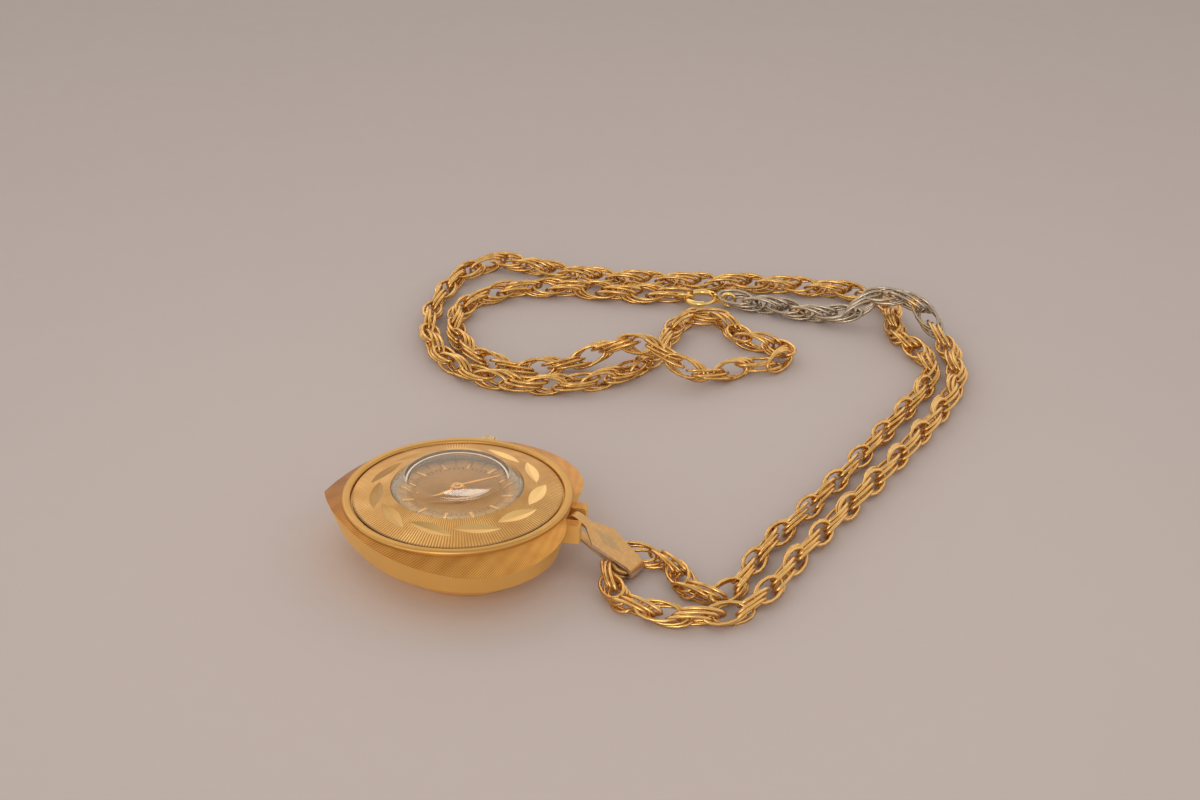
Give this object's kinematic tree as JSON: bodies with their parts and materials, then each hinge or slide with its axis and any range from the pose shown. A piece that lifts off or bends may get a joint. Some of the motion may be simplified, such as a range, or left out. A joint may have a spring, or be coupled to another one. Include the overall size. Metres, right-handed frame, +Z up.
{
  "type": "pendant watch",
  "caption": "Heart-shaped mechanical pendant watch with a round domed glass, side crown and folded hanging loop on a fine link chain with a spring ring clasp.",
  "frame": {"origin": "on the axis of the hands, at the level of the surface that the flat case back lies on", "axes": "+Z up out of the dial along the axis of the hands, +Y towards the hanging loop at the cleft of the heart, -Y towards its point, -X towards the crown"},
  "size_m": [0.0847, 0.0682, 0.0088],
  "materials": {
    "case_gold": "polished gold plate, brushed on top",
    "bezel_gold": "polished gold plate",
    "dish_gold": "radially brushed gold plate",
    "crystal_clear": "clear",
    "dial_champagne": "satin champagne",
    "marker_gold": "polished",
    "hand_gold": "polished",
    "holder_metal": "satin",
    "plate_nickel": "nickel plated, fine grain",
    "movement_steel": "polished",
    "jewel_red": "polished ruby",
    "wheel_brass": "satin gilt",
    "crown_gold": "polished",
    "bail_gold": "frosted rose gold, worn edges",
    "chain_gold": "polished gold plate",
    "chain_silver": "gold plate worn to silver colour",
    "clasp_gold": "polished gold plate"
  },
  "bodies": {
    "necklace": {"chain_long_side": "chain_gold", "chain_short_side": "chain_silver", "bail": "bail_gold", "fold_links": "chain_gold", "clasp_ring": "clasp_gold", "clasp_jump_ring": "clasp_gold", "end_ring": "clasp_gold"},
    "watch_case": {"case_body": "case_gold", "lug_bar": "case_gold", "case_back": "case_gold", "bezel_ring": "bezel_gold", "bezel_dish": "dish_gold", "crystal": "crystal_clear", "dial": "dial_champagne", "hour_markers": "marker_gold", "movement_holder": "holder_metal", "main_plate": "plate_nickel", "barrel_bridge": "plate_nickel", "train_bridge": "plate_nickel", "balance_cock": "plate_nickel", "pallet_bridge": "plate_nickel", "bridge_screws": "movement_steel", "jewels": "jewel_red", "case_tube": "case_gold"},
    "center_arbor": {"center_wheel": "wheel_brass", "cannon_pinion": "movement_steel", "minute_hand": "hand_gold"},
    "hour_group": {"hour_wheel": "wheel_brass", "hour_hand": "hand_gold"},
    "minute_work": {"minute_wheel": "wheel_brass"},
    "third_arbor": {"third_wheel": "wheel_brass"},
    "fourth_arbor": {"fourth_wheel": "wheel_brass"},
    "escape_arbor": {"escape_wheel": "movement_steel"},
    "barrel_drum": {"barrel": "wheel_brass", "mainspring": "movement_steel"},
    "ratchet": {"ratchet_wheel": "movement_steel"},
    "crown_wheel_body": {"crown_wheel": "movement_steel"},
    "click_body": {"click": "movement_steel"},
    "pallet": {"pallet_fork": "movement_steel"},
    "balance": {"balance_wheel": "wheel_brass", "hairspring": "movement_steel"},
    "regulator_body": {"regulator": "movement_steel"},
    "stem_body": {"stem": "movement_steel"},
    "crown_body": {"crown": "crown_gold"},
    "winding_pinion_body": {"winding_pinion": "movement_steel"},
    "clutch_body": {"clutch": "movement_steel"},
    "setting_lever_body": {"setting_lever": "movement_steel"},
    "yoke_body": {"yoke": "movement_steel"},
    "clasp_slide": {"clasp_trigger": "clasp_gold"}
  },
  "joints": [
    {"name": "case_swing", "type": "hinge", "parent": "necklace", "child": "watch_case", "pos_m": [0, 0.01255, 0.0042], "axis": [1, 0, 0], "range_deg": [-90, 0]},
    {"name": "minute_hand_turn", "type": "hinge", "parent": "watch_case", "child": "center_arbor", "pos_m": [0, 0, 0], "axis": [0, 0, 1], "continuous": true},
    {"name": "hour_hand_turn", "type": "hinge", "parent": "watch_case", "child": "hour_group", "pos_m": [0, 0, 0], "axis": [0, 0, 1], "continuous": true},
    {"name": "minute_wheel_turn", "type": "hinge", "parent": "watch_case", "child": "minute_work", "pos_m": [-0.0018, 0, 0], "axis": [0, 0, 1], "continuous": true},
    {"name": "third_wheel_turn", "type": "hinge", "parent": "watch_case", "child": "third_arbor", "pos_m": [0.00284, -0.0005, 0], "axis": [0, 0, 1], "continuous": true},
    {"name": "fourth_wheel_turn", "type": "hinge", "parent": "watch_case", "child": "fourth_arbor", "pos_m": [0.00345, -0.0028, 0], "axis": [0, 0, 1], "continuous": true},
    {"name": "escape_wheel_turn", "type": "hinge", "parent": "watch_case", "child": "escape_arbor", "pos_m": [0.00232, -0.00442, 0], "axis": [0, 0, 1], "continuous": true},
    {"name": "barrel_turn", "type": "hinge", "parent": "watch_case", "child": "barrel_drum", "pos_m": [-0.0012, 0.00329, 0], "axis": [0, 0, 1], "continuous": true},
    {"name": "ratchet_turn", "type": "hinge", "parent": "watch_case", "child": "ratchet", "pos_m": [-0.0012, 0.00329, 0], "axis": [0, 0, 1], "continuous": true},
    {"name": "crown_wheel_turn", "type": "hinge", "parent": "watch_case", "child": "crown_wheel_body", "pos_m": [-0.00455, 0.0014, 0], "axis": [0, 0, 1], "continuous": true},
    {"name": "click_lift", "type": "hinge", "parent": "watch_case", "child": "click_body", "pos_m": [0.00028, 0.00607, 0], "axis": [0, 0, 1], "range_deg": [-10, 0]},
    {"name": "pallet_swing", "type": "hinge", "parent": "watch_case", "child": "pallet", "pos_m": [0.00089, -0.00467, 0], "axis": [0, 0, 1], "range_deg": [-4, 4]},
    {"name": "balance_swing", "type": "hinge", "parent": "watch_case", "child": "balance", "pos_m": [-0.0012, -0.00486, 0], "axis": [0, 0, 1], "range_deg": [-150, 150]},
    {"name": "regulator_shift", "type": "hinge", "parent": "watch_case", "child": "regulator_body", "pos_m": [-0.0012, -0.00486, 0], "axis": [0, 0, 1], "range_deg": [-15, 15]},
    {"name": "crown_pull", "type": "slide", "parent": "watch_case", "child": "stem_body", "axis": [-1, 0, 0], "range_m": [0, 0.0006]},
    {"name": "crown_turn", "type": "hinge", "parent": "stem_body", "child": "crown_body", "pos_m": [0, 0, 0.0042], "axis": [1, 0, 0], "continuous": true},
    {"name": "winding_pinion_turn", "type": "hinge", "parent": "watch_case", "child": "winding_pinion_body", "pos_m": [0, 0, 0.0042], "axis": [1, 0, 0], "continuous": true},
    {"name": "clutch_shift", "type": "slide", "parent": "watch_case", "child": "clutch_body", "axis": [1, 0, 0], "range_m": [0, 0.0002001]},
    {"name": "setting_lever_swing", "type": "hinge", "parent": "watch_case", "child": "setting_lever_body", "pos_m": [-0.0055, -0.0021, 0], "axis": [0, 0, 1], "range_deg": [0, 16.56]},
    {"name": "yoke_swing", "type": "hinge", "parent": "watch_case", "child": "yoke_body", "pos_m": [-0.0044, -0.00241, 0], "axis": [0, 0, 1], "range_deg": [-4.96, 0]},
    {"name": "clasp_opening", "type": "hinge", "parent": "necklace", "child": "clasp_slide", "pos_m": [-0.0632, 0.0164, 0], "axis": [0, 0, 1], "range_deg": [0, 40], "stiffness_Nm_per_rad": 0.00001}
  ],
  "couplings": [
    {"joint": "hour_hand_turn", "follows": "minute_hand_turn", "ratio": 0.083333},
    {"joint": "minute_wheel_turn", "follows": "minute_hand_turn", "ratio": -0.33333},
    {"joint": "third_wheel_turn", "follows": "minute_hand_turn", "ratio": -8},
    {"joint": "fourth_wheel_turn", "follows": "minute_hand_turn", "ratio": 60},
    {"joint": "escape_wheel_turn", "follows": "minute_hand_turn", "ratio": -600},
    {"joint": "barrel_turn", "follows": "minute_hand_turn", "ratio": -0.16667},
    {"joint": "winding_pinion_turn", "follows": "crown_turn", "ratio": 1},
    {"joint": "crown_wheel_turn", "follows": "crown_turn", "ratio": 0.6},
    {"joint": "ratchet_turn", "follows": "crown_turn", "ratio": -0.38298},
    {"joint": "clutch_shift", "follows": "crown_pull", "ratio": 0.33333},
    {"joint": "setting_lever_swing", "follows": "crown_pull", "rad_per_m": 475.92},
    {"joint": "yoke_swing", "follows": "crown_pull", "rad_per_m": -138.57}
  ]
}
